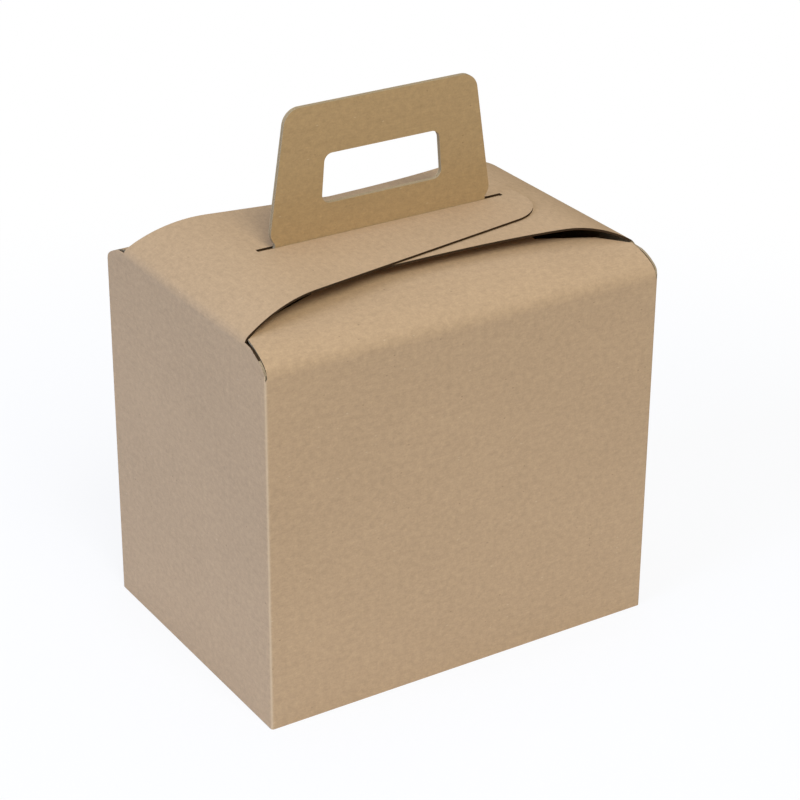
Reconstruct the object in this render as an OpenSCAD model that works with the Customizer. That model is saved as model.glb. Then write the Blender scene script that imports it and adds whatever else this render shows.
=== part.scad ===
// Kraft lunch box with a carrying handle, folded from one sheet of micro-flute board.
// The front and back panels bend over the top and stand up together as the handle.
// Two slotted end flaps drop over the handle, and the left one lies outermost.
// The origin is the middle of the base, +X runs along the front and +Z is up.

/* [Box] */
// Width of the front panel, outside
box_w = 250; // [220:5:320]
// Depth from front to back, outside
box_d = 180; // [150:5:220]
// Height of the straight part of the front and back panels
wall_h = 210; // [150:5:260]
// Height of the end flap creases above the straight part of the walls
crease_rise = 15; // [13:0.5:17]
// Thickness of the board
board_t = 1.2; // [0.8:0.1:1.6]
// Outer radius of the upright folds
fold_r = 1.6; // [1.6:0.1:3]

/* [Roof bend] */
// Radius of the tight bend at the top of the front and back panels
shoulder_r = 10; // [8:0.5:13]
// Angle turned in the tight bend
shoulder_turn = 58; // [54:1:60]
// Radius of the wider bend above it
haunch_r = 45; // [38:1:50]
// Slope of the roof where the wider bend ends
haunch_slope = 15; // [13:0.5:16]
// Slope of the roof where it meets the handle
ridge_slope = 5; // [4:0.5:7]
// Gap between an end panel and the side edge of the roof at the walls
slit_low = 0.3; // [0.3:0.1:0.6]
// Gap between an end panel and the side edge of the roof at the flap crease
slit_high = 1.5; // [1:0.1:2]
// Inset of the roof's corner cut under the end flaps
roof_notch = 1.2; // [1:0.1:3]
// Distance from the end panels at which the roof starts to narrow quickly
roof_corner_in = 20; // [12:1:30]
// Depth behind the front panel at which the roof starts to narrow quickly
roof_corner_depth = 33; // [28:1:38]
// Depth behind the front panel at which the roof has narrowed to the handle's width
roof_narrow = 44; // [40:1:60]

/* [Handle] */
// Height of the handle's top edge above the straight part of the walls
handle_rise = 106; // [100:1:120]
// Width of the neck that stands in the slots
neck_w = 136; // [120:1:146]
// Amount by which each ear reaches past the neck
ear_reach = 2.5; // [1:0.5:4]
// Radius of the ears
ear_r = 8; // [6:0.5:10]
// Width of the handle along its top edge, before the corners are rounded
handle_top_w = 120.5; // [110:0.5:130]
// Radius of the top corners
corner_r = 10; // [6:0.5:14]
// Width of the hand hole along its lower edge
hole_low_w = 77.5; // [70:0.5:84]
// Width of the hand hole along its upper edge
hole_high_w = 73; // [66:0.5:80]
// Height of the hand hole
hole_h = 28.5; // [24:0.5:32]
// Height of the board left above the hand hole
hole_top_bar = 29; // [22:0.5:34]
// Radius of the hand hole's corners
hole_r = 5; // [3:0.5:8]
// Gap between the two layers of the handle
layer_gap = 0.3; // [0.1:0.1:0.5]

/* [End flaps] */
// Angle at which an end flap leaves its crease
flap_angle = 34; // [30:1:38]
// Board left past the slot at a flap's tip
tip_margin = 9.5; // [8:0.5:16]
// Radius of the outer flap's tip corners
outer_tip_r = 27; // [16:1:30]
// Radius of the inner flap's tip corners
inner_tip_r = 27; // [16:1:30]
// Half width of the outer flap that its straight edges reach at the tip
outer_tip_half = 32; // [30:0.1:40]
// Half width of the inner flap at the tip
inner_tip_half = 51; // [44:0.5:54]
// How quickly the inner flap narrows past its crease
inner_taper = 4; // [2:0.5:5]
// Free length of the outer slot past the handle's neck, on the left
slot_spare = 10.5; // [6:0.5:14]
// Room between the handle and each long side of a slot
slot_side_room = 0.35; // [0.3:0.05:0.8]
// Room between the handle's swing and the far end of the outer slot
slot_end_room = 1.2; // [0.8:0.1:2]
// Room between stacked layers of board on the roof
layer_room = 0.3; // [0.3:0.05:0.6]
// Gap at the outer flap's crease
crease_gap = 0.3; // [0.3:0.05:0.5]

/* [Base] */
// Depth of the inner base flaps
base_flap = 60; // [40:1:70]
// Slit round the free edges of the outer base panel
base_slit = 0.6; // [0.4:0.1:1]
// Width of the glued side seam
seam_w = 25; // [18:1:35]
// Distance of the seam's ends from the base and from the straight walls' top
seam_end = 8; // [5:1:14]

/* [Hidden] */

// Colours of the board and of the layer that lies outermost
kraft = "#b49a78";
kraft_light = "#bda383";

// Overlap used where one cut has to run right through another piece
cut_through = 1;
// Steps of the bent stretches
tight_steps = 18;
wide_steps = 12;
long_steps = 12;
edge_steps = 16;

half_w = box_w / 2;
half_d = box_d / 2;
// Depth of an upright fold's middle behind the panels' outer faces
fold_in = fold_r * (1 - cos(45));

// Roof arcs, seen along X, measured from the outer face of the front panel.
// Each is a centre and a start angle. The inner face has the same centres.
turn_1 = 180 - shoulder_turn;
turn_2 = 90 + haunch_slope;
turn_3 = 90 + ridge_slope;
leaf_y = half_d - layer_gap / 2 - board_t;
centre_1 = [shoulder_r, wall_h];
centre_2 = centre_1 + (shoulder_r - haunch_r) * [cos(turn_1), sin(turn_1)];
crown_r = (leaf_y - centre_2.x - haunch_r * cos(turn_2)) / (cos(turn_3) - cos(turn_2));
centre_3 = centre_2 + (haunch_r - crown_r) * [cos(turn_2), sin(turn_2)];
ridge_z = centre_3.y + crown_r * sin(turn_3);
fold_z = ridge_z - board_t * sin(turn_3);

// Handle heights and half widths
handle_z = wall_h + handle_rise;
neck_half = neck_w / 2;
ear_half = neck_half + ear_reach;
top_half = handle_top_w / 2;
hole_top_z = handle_z - hole_top_bar;
hole_low_z = hole_top_z - hole_h;

// Stack of layers on the ridge: roof, inner flap, outer flap
inner_z = ridge_z + layer_room;
outer_z = inner_z + board_t + layer_room;
ear_z = outer_z + board_t + ear_r;

// Creases of the end flaps. A flap turns about the middle of the board.
crease_z = wall_h + crease_rise;
hinge_z = crease_z - board_t / 2;
hinge_x = half_w - board_t / 2;

// Slots. The inner one just passes over the ears, and its tip ends where the outer flap is level.
// The outer one is long enough to swing clear of the handle.
slot_w = 2 * board_t + layer_gap + 2 * slot_side_room;
ear_to_top = [ear_half - ear_r - top_half, handle_z - ear_z];
side_lean = atan2(ear_to_top.x, ear_to_top.y) + asin(ear_r / norm(ear_to_top));
corner_in = corner_r * (1 - sin(side_lean)) / cos(side_lean);
corner_x = top_half - corner_in;
swing_corner = norm([hinge_x + corner_x, handle_z - corner_r - hinge_z]) + corner_r;
swing_ear = norm([hinge_x + ear_half - ear_r, ear_z - hinge_z]) + ear_r;
swing = max(swing_corner, swing_ear) + slot_end_room;
slot_left = neck_half + slot_spare;
outer_slot_right = sqrt(pow(swing, 2) - pow(outer_z - hinge_z, 2)) - hinge_x;
outer_tip_x = outer_slot_right + tip_margin;
inner_tip_x = ear_half + tip_margin;

// Depth at which the roof has risen to the creases, found by halving the wide bends
function roof_at(y) =
    y < centre_2.x + haunch_r * cos(turn_2)
        ? centre_2.y + sqrt(pow(haunch_r, 2) - pow(y - centre_2.x, 2))
        : centre_3.y + sqrt(pow(crown_r, 2) - pow(y - centre_3.x, 2));
function crease_depth(low, high, rounds) =
    rounds == 0 ? (low + high) / 2
    : roof_at((low + high) / 2) < crease_z ? crease_depth((low + high) / 2, high, rounds - 1)
    : crease_depth(low, (low + high) / 2, rounds - 1);
crease_in = crease_depth(shoulder_r / 2, leaf_y, 30);

// Points of an arc of n steps
function arc(centre, r, from, to, n) =
    [for (i = [0:n]) let (a = from + (to - from) * i / n) centre + r * [cos(a), sin(a)]];

// One face of the roof, from the wall to the ridge, a given distance below the outer face
function roof_face(below) = concat(
    arc(centre_1, shoulder_r - below, 180, turn_1, tight_steps),
    arc(centre_2, haunch_r - below, turn_1, turn_2, wide_steps),
    arc(centre_3, crown_r - below, turn_2, turn_3, long_steps)
);

// A list of points in reverse order
function reversed(points) = [for (i = [len(points) - 1:-1:0]) points[i]];

// The same points on the other side of the middle, in reverse order
function mirrored(points) = [for (i = [len(points) - 1:-1:0]) [-points[i].x, points[i].y]];

// Half width of an end flap, from its crease at 0 to its tip at reach
function flap_half(x, reach, tip_half, taper) =
    tip_half + (half_d - crease_in - tip_half) * pow(1 - x / reach, taper);

// Slope of an end flap's edge near its tip
function tip_slope(reach, tip_half, taper, r) =
    (flap_half(reach - r, reach, tip_half, taper) - flap_half(reach, reach, tip_half, taper)) / r;

// One side of an end flap's outline, from the crease round the tip corner
function flap_edge(reach, tip_half, taper, r) =
    let (
        lean = atan(tip_slope(reach, tip_half, taper, r)),
        centre = [reach - r, flap_half(reach - r, reach, tip_half, taper) - r / cos(lean)],
        side_end = centre.x + r * sin(lean)
    )
    concat(
        [for (i = [0:edge_steps]) let (x = side_end * i / edge_steps)
            [x, flap_half(x, reach, tip_half, taper)]],
        [for (i = [1:edge_steps]) let (a = (90 - lean) * (1 - i / edge_steps))
            centre + r * [cos(a), sin(a)]]
    );

// Prism along X from a drawing of [y, z]
module along_x(from, to) {
    translate([from, 0, 0])
        rotate([90, 0, 90])
            linear_extrude(to - from)
                children();
}

// Prism along Y from a drawing of [x, z]
module along_y(from, to) {
    translate([0, to, 0])
        rotate([90, 0, 0])
            linear_extrude(to - from)
                children();
}

// Rectangle with round corners
module round_square(size, r) {
    square([size.x - 2 * r, size.y], center = true);
    square([size.x, size.y - 2 * r], center = true);
    for (sx = [-1, 1], sy = [-1, 1])
        translate([sx * (size.x / 2 - r), sy * (size.y / 2 - r)])
            circle(r, $fn = 48);
}

// Four upright panels as one ring, up to the start of the bends
module walls() {
    linear_extrude(wall_h)
        difference() {
            round_square([box_w, box_d], fold_r);
            square([box_w - 2 * board_t, box_d - 2 * board_t], center = true);
        }
}

// Upper part of an end panel, with its two rounded shoulders
module end_panel_top(top_z) {
    bend = [for (p = roof_face(0)) if (p.x > fold_in && p.y < top_z) p - [half_d, 0]];
    shoulder = concat([[fold_in - half_d, wall_h - cut_through]], bend, [[crease_in - half_d, top_z]]);
    polygon(concat(shoulder, mirrored(shoulder)));
}

// Plan of one half of the roof: a corner cut and a quick taper, then nearly straight to the handle
module roof_plan() {
    low_x = half_w - board_t - slit_low;
    high_x = half_w - board_t - slit_high;
    corner = [
        [low_x, -half_d],
        [high_x, crease_in - half_d],
        [high_x - roof_notch, crease_in + roof_notch / 2 - half_d],
        [half_w - roof_corner_in, roof_corner_depth - half_d],
        [ear_half + roof_notch, roof_narrow - half_d],
        [ear_half, cut_through]
    ];
    polygon(concat(corner, mirrored(corner)));
}

// Section of one half of the roof, from inside the wall to the fold on the ridge
module roof_section() {
    root_z = wall_h - cut_through;
    fold = [[leaf_y + board_t, ridge_z], [leaf_y + board_t, fold_z]];
    translate([-half_d, 0])
        polygon(concat([[0, root_z]], roof_face(0), fold, reversed(roof_face(board_t)), [[board_t, root_z]]));
}

// Outline of the handle, seen from the front, down to below the ridge
module handle_outline() {
    ear = arc([ear_half - ear_r, ear_z], ear_r, -acos(1 - ear_reach / ear_r), side_lean, edge_steps);
    corner = arc([corner_x, handle_z - corner_r], corner_r, side_lean, 90, edge_steps);
    side = concat([[neck_half, 0]], ear, corner);
    difference() {
        polygon(concat(side, mirrored(side)));
        hand_hole();
    }
}

// Hand hole: a trapezium with round corners
module hand_hole() {
    lean = atan2((hole_low_w - hole_high_w) / 2, hole_h);
    high_in = hole_r * (1 - sin(lean)) / cos(lean);
    low_in = hole_r * (1 + sin(lean)) / cos(lean);
    low = arc([hole_low_w / 2 - low_in, hole_low_z + hole_r], hole_r, -90, lean, edge_steps);
    high = arc([hole_high_w / 2 - high_in, hole_top_z - hole_r], hole_r, lean, 90, edge_steps);
    polygon(concat(low, high, mirrored(concat(low, high))));
}

// Front half of the roof, cut to its plan
module roof_half() {
    intersection() {
        along_x(-half_w, half_w)
            roof_section();
        linear_extrude(ridge_z + board_t)
            roof_plan();
    }
}

// Front layer of the handle, which stands on the roof's fold
module handle_leaf() {
    intersection() {
        along_y(leaf_y - half_d, leaf_y + board_t - half_d)
            handle_outline();
        translate([-half_w, -half_d, fold_z])
            cube([box_w, half_d, handle_z]);
    }
}

// Section of an end flap, seen along Y, drawn from the middle of its crease towards +X
module flap_section(level, reach) {
    rise = level + board_t / 2 - hinge_z;
    bend_r = rise / (1 - cos(flap_angle));
    centre = [bend_r * sin(flap_angle), rise - bend_r];
    from = 90 + flap_angle;
    upper = arc(centre, bend_r + board_t / 2, from, 90, wide_steps);
    lower = arc(centre, bend_r - board_t / 2, from, 90, wide_steps);
    end = [[reach, rise + board_t / 2], [reach, rise - board_t / 2]];
    crease = [for (i = [1:edge_steps - 1]) let (a = from + 180 * (1 - i / edge_steps))
        board_t / 2 * [cos(a), sin(a)]];
    polygon(concat(upper, end, reversed(lower), crease));
}

// End flap with its crease at the left, cut to its outline
module end_flap(level, tip_x, tip_half, taper, tip_r) {
    reach = hinge_x + tip_x;
    edge = concat([[-board_t, half_d - crease_in]], flap_edge(reach, tip_half, taper, tip_r));
    intersection() {
        translate([0, 0, hinge_z])
            along_y(-half_d, half_d)
                flap_section(level, reach + cut_through);
        translate([0, 0, hinge_z - board_t])
            linear_extrude(level - hinge_z + 2 * board_t + cut_through)
                polygon(concat(edge, [for (p = reversed(edge)) [p.x, -p.y]]));
    }
}

// Slot for the handle between two places along X
module slot(from, to) {
    translate([from, -slot_w / 2, crease_z])
        cube([to - from, slot_w, handle_z - crease_z]);
}

// Inner flap, which folds over from the right
module inner_flap() {
    difference() {
        translate([hinge_x, 0, 0])
            mirror([1, 0, 0])
                end_flap(inner_z, inner_tip_x, inner_tip_half, inner_taper, inner_tip_r);
        slot(-ear_half, ear_half);
    }
}

// Base: an outer panel from the back wall, over flaps from the other three walls
module base() {
    inside_w = box_w - 2 * board_t;
    inside_d = box_d - 2 * board_t;
    panel_w = inside_w - 2 * base_slit;
    panel_d = inside_d - base_slit;
    translate([-panel_w / 2, half_d - board_t - panel_d, 0])
        cube([panel_w, panel_d, board_t]);
    translate([0, 0, board_t])
        linear_extrude(board_t)
            difference() {
                square([inside_w, inside_d], center = true);
                translate([-inside_w / 2 + base_flap, -inside_d / 2 + base_flap])
                    square([inside_w - 2 * base_flap, inside_d]);
            }
}

// Glued seam inside the right back fold
module side_seam() {
    translate([half_w - 2 * board_t, half_d - board_t - seam_w, seam_end])
        cube([board_t, seam_w, wall_h - 2 * seam_end]);
}

// The folded sheet with all its fixed panels
module carton() {
    color(kraft) {
        walls();
        along_x(-half_w, board_t - half_w)
            end_panel_top(hinge_z - board_t / 2 - crease_gap);
        along_x(half_w - board_t, half_w)
            end_panel_top(hinge_z);
        for (side = [0, 1])
            mirror([0, side, 0]) {
                roof_half();
                handle_leaf();
            }
        inner_flap();
        base();
        side_seam();
    }
}

// Outer flap, which swings up on the left crease
module outer_flap() {
    color(kraft_light)
        difference() {
            translate([-hinge_x, 0, 0])
                end_flap(outer_z, outer_tip_x, outer_tip_half, 1, outer_tip_r);
            slot(-slot_left, outer_slot_right);
        }
}

carton();
outer_flap();
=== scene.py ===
"""Kraft lunch box with a carrying handle: its looks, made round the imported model.

The board is made as it is in real life. A flat blank is drawn with a cutting line,
scored into rows and columns, folded along the sections of the box, and then given
its thickness and its slightly crushed cut edges.
"""

import logging
import math
from collections.abc import Callable, Sequence
from dataclasses import dataclass
from enum import Enum
from typing import Any

import bmesh
import bpy
from mathutils import Matrix, Vector


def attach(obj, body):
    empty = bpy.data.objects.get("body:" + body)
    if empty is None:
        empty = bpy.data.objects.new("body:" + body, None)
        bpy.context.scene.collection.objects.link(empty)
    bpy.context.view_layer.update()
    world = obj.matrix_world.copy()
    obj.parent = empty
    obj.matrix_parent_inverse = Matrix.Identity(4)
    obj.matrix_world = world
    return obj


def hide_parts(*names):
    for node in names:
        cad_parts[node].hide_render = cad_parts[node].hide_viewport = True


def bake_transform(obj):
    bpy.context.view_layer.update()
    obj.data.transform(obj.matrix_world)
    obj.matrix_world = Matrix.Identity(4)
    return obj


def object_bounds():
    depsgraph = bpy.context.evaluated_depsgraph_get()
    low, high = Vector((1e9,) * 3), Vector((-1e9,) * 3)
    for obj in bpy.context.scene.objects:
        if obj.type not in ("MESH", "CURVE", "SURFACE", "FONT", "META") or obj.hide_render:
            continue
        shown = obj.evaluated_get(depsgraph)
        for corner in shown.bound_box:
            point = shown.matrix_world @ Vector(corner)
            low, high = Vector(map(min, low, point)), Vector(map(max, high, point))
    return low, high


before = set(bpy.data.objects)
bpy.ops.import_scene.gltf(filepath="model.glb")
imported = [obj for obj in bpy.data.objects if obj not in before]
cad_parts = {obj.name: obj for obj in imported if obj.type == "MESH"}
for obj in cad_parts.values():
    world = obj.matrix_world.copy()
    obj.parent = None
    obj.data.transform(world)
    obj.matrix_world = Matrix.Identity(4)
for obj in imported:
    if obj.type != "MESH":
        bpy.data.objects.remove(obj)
CAD_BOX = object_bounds()

LOG = logging.getLogger("lunch_box")
UPRIGHT = math.pi / 2
HALF_CORNER = math.pi / 4
SAME_PLACE = 2e-6
UP = Vector((0.0, 0.0, 1.0))


def linear(red: float, green: float, blue: float) -> tuple[float, float, float, float]:
    """Turn a display colour into the linear colour that shaders use.

    Args:
        red: Red from 0 to 255.
        green: Green from 0 to 255.
        blue: Blue from 0 to 255.

    Returns:
        The linear colour with full alpha.
    """
    parts = []
    for value in (red, green, blue):
        share = value / 255
        parts.append(share / 12.92 if share <= 0.04045 else ((share + 0.055) / 1.055) ** 2.4)
    return (parts[0], parts[1], parts[2], 1.0)


class Face(Enum):
    """Which material slot of the board a face takes."""

    OUTSIDE = 0
    CUT = 1
    INSIDE = 2


class Side(Enum):
    """The upright panels, with their outward direction and place round the blank."""

    LEFT = (-1, 0, -1)
    FRONT = (0, -1, 0)
    RIGHT = (1, 0, 1)
    BACK = (0, 1, -2)

    def outward(self) -> Vector:
        """Return the panel's outward direction."""
        return Vector((self.value[0], self.value[1], 0.0))

    def order(self) -> int:
        """Return how many panels it is from the front, along the blank."""
        return self.value[2]


@dataclass(frozen=True)
class Board:
    """The sheet of micro-flute board, in metres."""

    thickness: float = 0.0012
    fold: float = 0.0016
    crushed_edge: float = 0.00016
    fold_support: float = 0.0006
    grid: float = 0.015
    grid_margin: float = 0.004
    smooth_below: float = math.radians(19)


@dataclass(frozen=True)
class BoxSizes:
    """Sizes of the box, in metres. Those that the solid model has are the same there."""

    width: float = 0.250
    depth: float = 0.180
    wall: float = 0.210
    shoulder_r: float = 0.010
    shoulder_turn: float = math.radians(58)
    haunch_r: float = 0.045
    haunch_turn: float = math.radians(17)
    crown_r: float = 0.417968
    crown_turn: float = math.radians(10)
    ridge: float = 0.236436
    crease_in: float = 0.021541
    handle_top: float = 0.316
    ridge_fold_r: float = 0.0006
    flap_split: float = 0.2195
    slit_low: float = 0.0003
    slit_high: float = 0.0015
    roof_lip: float = 0.0015
    roof_notch: float = 0.0012
    roof_corner_in: float = 0.020
    roof_corner_depth: float = 0.033
    roof_narrow: float = 0.044
    roof_past_middle: float = 0.001
    base_fold: float = 0.001
    base_slit: float = 0.0006
    base_side_height: float = 0.035
    base_flap: float = 0.060
    base_mitre: float = 0.0003
    glue_gap: float = 0.00005
    seam_w: float = 0.025
    seam_low: float = 0.008
    seam_high: float = 0.202
    seam_slant: float = 0.006
    wall_bulge: float = 0.0004
    end_bulge: float = 0.0003


@dataclass(frozen=True)
class Run:
    """One stretch of a sheet's section. A turn into the box is positive."""

    length: float
    turn: float = 0.0
    steps: int = 1


class Section:
    """The line that a sheet's outer face follows, seen from its side.

    Depth runs from the panel's outer face into the box, and height from the floor.
    A place on the line is its distance along the sheet.
    """

    def __init__(
        self, start: tuple[float, float], heading: float, first: float, runs: Sequence[Run]
    ) -> None:
        """Lay the runs end to end.

        Args:
            start: Depth and height of the line's start.
            heading: Direction at the start, as an angle above level.
            first: Distance along the sheet at the start.
            runs: The stretches in order.
        """
        self.first = first
        self.stretches: list[tuple[float, float, float, float, Run]] = []
        depth, height = start
        along = first
        for run in runs:
            self.stretches.append((along, depth, height, heading, run))
            depth, height = self._step(depth, height, heading, run, run.length)
            heading -= run.turn
            along += run.length
        self.last = along

    @staticmethod
    def _step(
        depth: float, height: float, heading: float, run: Run, distance: float
    ) -> tuple[float, float]:
        """Follow one run for a distance.

        Args:
            depth: Depth at the run's start.
            height: Height at the run's start.
            heading: Direction at the run's start.
            run: The run.
            distance: How far to go along it.

        Returns:
            Depth and height there.
        """
        if run.turn == 0.0:
            return depth + distance * math.cos(heading), height + distance * math.sin(heading)
        curve = run.turn / run.length
        end = heading - curve * distance
        return (
            depth + (math.sin(heading) - math.sin(end)) / curve,
            height + (math.cos(end) - math.cos(heading)) / curve,
        )

    def at(self, along: float) -> tuple[float, float]:
        """Return depth and height at a distance along the sheet."""
        found = self.stretches[0]
        for stretch in self.stretches:
            if along >= stretch[0]:
                found = stretch
        start, depth, height, heading, run = found
        return self._step(depth, height, heading, run, along - start)

    def rows(self, support: float) -> list[float]:
        """Return the places where the sheet gets a line across it.

        Args:
            support: Distance of an extra line from a bend, on each straight run beside it.

        Returns:
            The places in order, without the two ends.
        """
        places: set[float] = set()
        for start, _, _, _, run in self.stretches:
            for step in range(run.steps):
                places.add(round(start + run.length * step / run.steps, 7))
            if run.turn == 0.0 and run.length > 4 * support:
                places.add(round(start + support, 7))
                places.add(round(start + run.length - support, 7))
        return sorted(place for place in places if self.first < place < self.last)

    def find(self, axis: int, value: float, low: float, high: float) -> float:
        """Find where the line reaches a depth or a height that grows along it.

        Args:
            axis: 0 for depth, 1 for height.
            value: The depth or height to find.
            low: Place to start from.
            high: Place to end at.

        Returns:
            The place along the sheet.
        """
        for _ in range(50):
            middle = (low + high) / 2
            if self.at(middle)[axis] < value:
                low = middle
            else:
                high = middle
        return (low + high) / 2


class CuttingLine:
    """A cutting line in the flat, drawn point by point for one half of a sheet."""

    def __init__(self, across: float, along: float) -> None:
        """Put the pen down.

        Args:
            across: Distance from the sheet's middle line.
            along: Distance along the sheet.
        """
        self.bm = bmesh.new()
        self.tip = self.bm.verts.new((across, along, 0.0))
        self.start = self.tip

    def line(self, across: float, along: float) -> None:
        """Draw a straight line to a point.

        Args:
            across: Distance from the sheet's middle line.
            along: Distance along the sheet.
        """
        made = bmesh.ops.extrude_vert_indiv(self.bm, verts=[self.tip])
        self.tip = made["verts"][0]
        self.tip.co = (across, along, 0.0)

    def arc(self, centre: tuple[float, float], angle: float, steps: int) -> None:
        """Draw an arc from the pen's place.

        Args:
            centre: Centre of the arc.
            angle: Angle to turn through, anticlockwise.
            steps: Number of steps.
        """
        made = bmesh.ops.spin(
            self.bm,
            geom=[self.tip],
            cent=(centre[0], centre[1], 0.0),
            axis=(0.0, 0.0, 1.0),
            angle=angle,
            steps=steps,
            use_merge=False,
            use_duplicate=False,
        )
        self.tip = [item for item in made["geom_last"] if isinstance(item, bmesh.types.BMVert)][0]

    def close(self) -> bmesh.types.BMesh:
        """Close the line and fill it.

        Returns:
            The flat half sheet as one face.
        """
        self.bm.edges.new((self.tip, self.start))
        bmesh.ops.edgeloop_fill(self.bm, edges=self.bm.edges[:])
        return self.bm


@dataclass(frozen=True)
class Panel:
    """Where a sheet of the blank stands once it is folded."""

    side: Side
    half: float
    section: Section
    middle_along_blank: float
    bulge: float = 0.0
    bulge_height: float = 0.0

    def place(self, board: Board, across: float, along: float) -> tuple[Vector, float]:
        """Fold one point of the flat sheet into place.

        Args:
            board: The board's sizes.
            across: Distance from the sheet's middle line.
            along: Distance along the sheet.

        Returns:
            The point on the outer face, and how near it is to the crest of an upright fold.
        """
        depth, height = self.section.at(along)
        crest = 0.0
        if 0.0 < along < self.bulge_height:
            bow = 1 - min(1.0, abs(across) / (self.half - board.fold)) ** 2
            depth += self.bulge * bow * math.sin(math.pi * along / self.bulge_height)
        past = abs(across) - (self.half - board.fold)
        if past > 0.0:
            angle = past / board.fold
            depth += board.fold * (1 - math.cos(angle))
            across = math.copysign(self.half - board.fold + board.fold * math.sin(angle), across)
            crest = min(1.0, angle / HALF_CORNER)
        out = self.side.outward()
        run = UP.cross(out)
        middle = Vector((out.x * BoxSizes().width / 2, out.y * BoxSizes().depth / 2, 0.0))
        return middle - out * depth + run * across + UP * height, crest


class Sheet:
    """A flat blank that is scored, folded and added to the board."""

    def __init__(self, half: bmesh.types.BMesh) -> None:
        """Keep the flat half sheet that the cutting line gave."""
        self.bm = half

    def score(self, axis: int, places: Sequence[float], low: float, high: float) -> None:
        """Divide the sheet along straight lines.

        Args:
            axis: 0 for lines at a distance across, 1 for lines at a distance along.
            places: The distances.
            low: Lowest distance along that a face may have to be divided.
            high: Highest distance along that a face may have to be divided.
        """
        normal = (1.0, 0.0, 0.0) if axis == 0 else (0.0, 1.0, 0.0)
        for place in places:
            faces = [
                face
                for face in self.bm.faces
                if all(low - SAME_PLACE <= vert.co.y <= high + SAME_PLACE for vert in face.verts)
            ]
            edges = {edge for face in faces for edge in face.edges}
            verts = {vert for face in faces for vert in face.verts}
            point = (place, 0.0, 0.0) if axis == 0 else (0.0, place, 0.0)
            bmesh.ops.bisect_plane(
                self.bm,
                geom=[*verts, *edges, *faces],
                dist=SAME_PLACE,
                plane_co=point,
                plane_no=normal,
            )

    def open_out(self) -> None:
        """Mirror the half sheet about its middle line and face it upwards."""
        bmesh.ops.mirror(
            self.bm,
            geom=[*self.bm.verts, *self.bm.edges, *self.bm.faces],
            matrix=Matrix.Identity(4),
            merge_dist=SAME_PLACE,
            axis="X",
        )
        bmesh.ops.recalc_face_normals(self.bm, faces=self.bm.faces[:])
        self.bm.normal_update()
        turned = [face for face in self.bm.faces if face.normal.z < 0.0]
        bmesh.ops.reverse_faces(self.bm, faces=turned)

    def keep(self, along: float, above: bool) -> None:
        """Cut the sheet across and keep one part of it.

        Args:
            along: Distance along the sheet of the cut.
            above: Whether the part past the cut is kept.
        """
        bmesh.ops.bisect_plane(
            self.bm,
            geom=[*self.bm.verts, *self.bm.edges, *self.bm.faces],
            dist=SAME_PLACE,
            plane_co=(0.0, along, 0.0),
            plane_no=(0.0, 1.0, 0.0),
            clear_inner=above,
            clear_outer=not above,
        )

    def fold(
        self,
        place: Callable[[float, float], tuple[Vector, float]],
        middle_along_blank: float,
        handle_from: float = math.inf,
    ) -> None:
        """Note each point's place on the blank, and fold it.

        Args:
            place: Gives a point's place and fold crest from its place on the sheet.
            middle_along_blank: Distance of the sheet's middle line along the whole blank.
            handle_from: Distance along the sheet past which it belongs to the handle.
        """
        blank = self.bm.verts.layers.float_vector.new("blank")
        crease = self.bm.verts.layers.float.new("crease")
        leaf = self.bm.verts.layers.float.new("handle")
        for vert in self.bm.verts:
            across, along = vert.co.x, vert.co.y
            vert[blank] = (middle_along_blank + across, along, 0.0)
            vert[leaf] = float(along > handle_from)
            vert.co, vert[crease] = place(across, along)

    def add_to(self, whole: bmesh.types.BMesh) -> None:
        """Move the folded sheet into the mesh of the whole piece."""
        passing = bpy.data.meshes.new("passing")
        self.bm.to_mesh(passing)
        self.bm.free()
        whole.from_mesh(passing)
        bpy.data.meshes.remove(passing)


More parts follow.
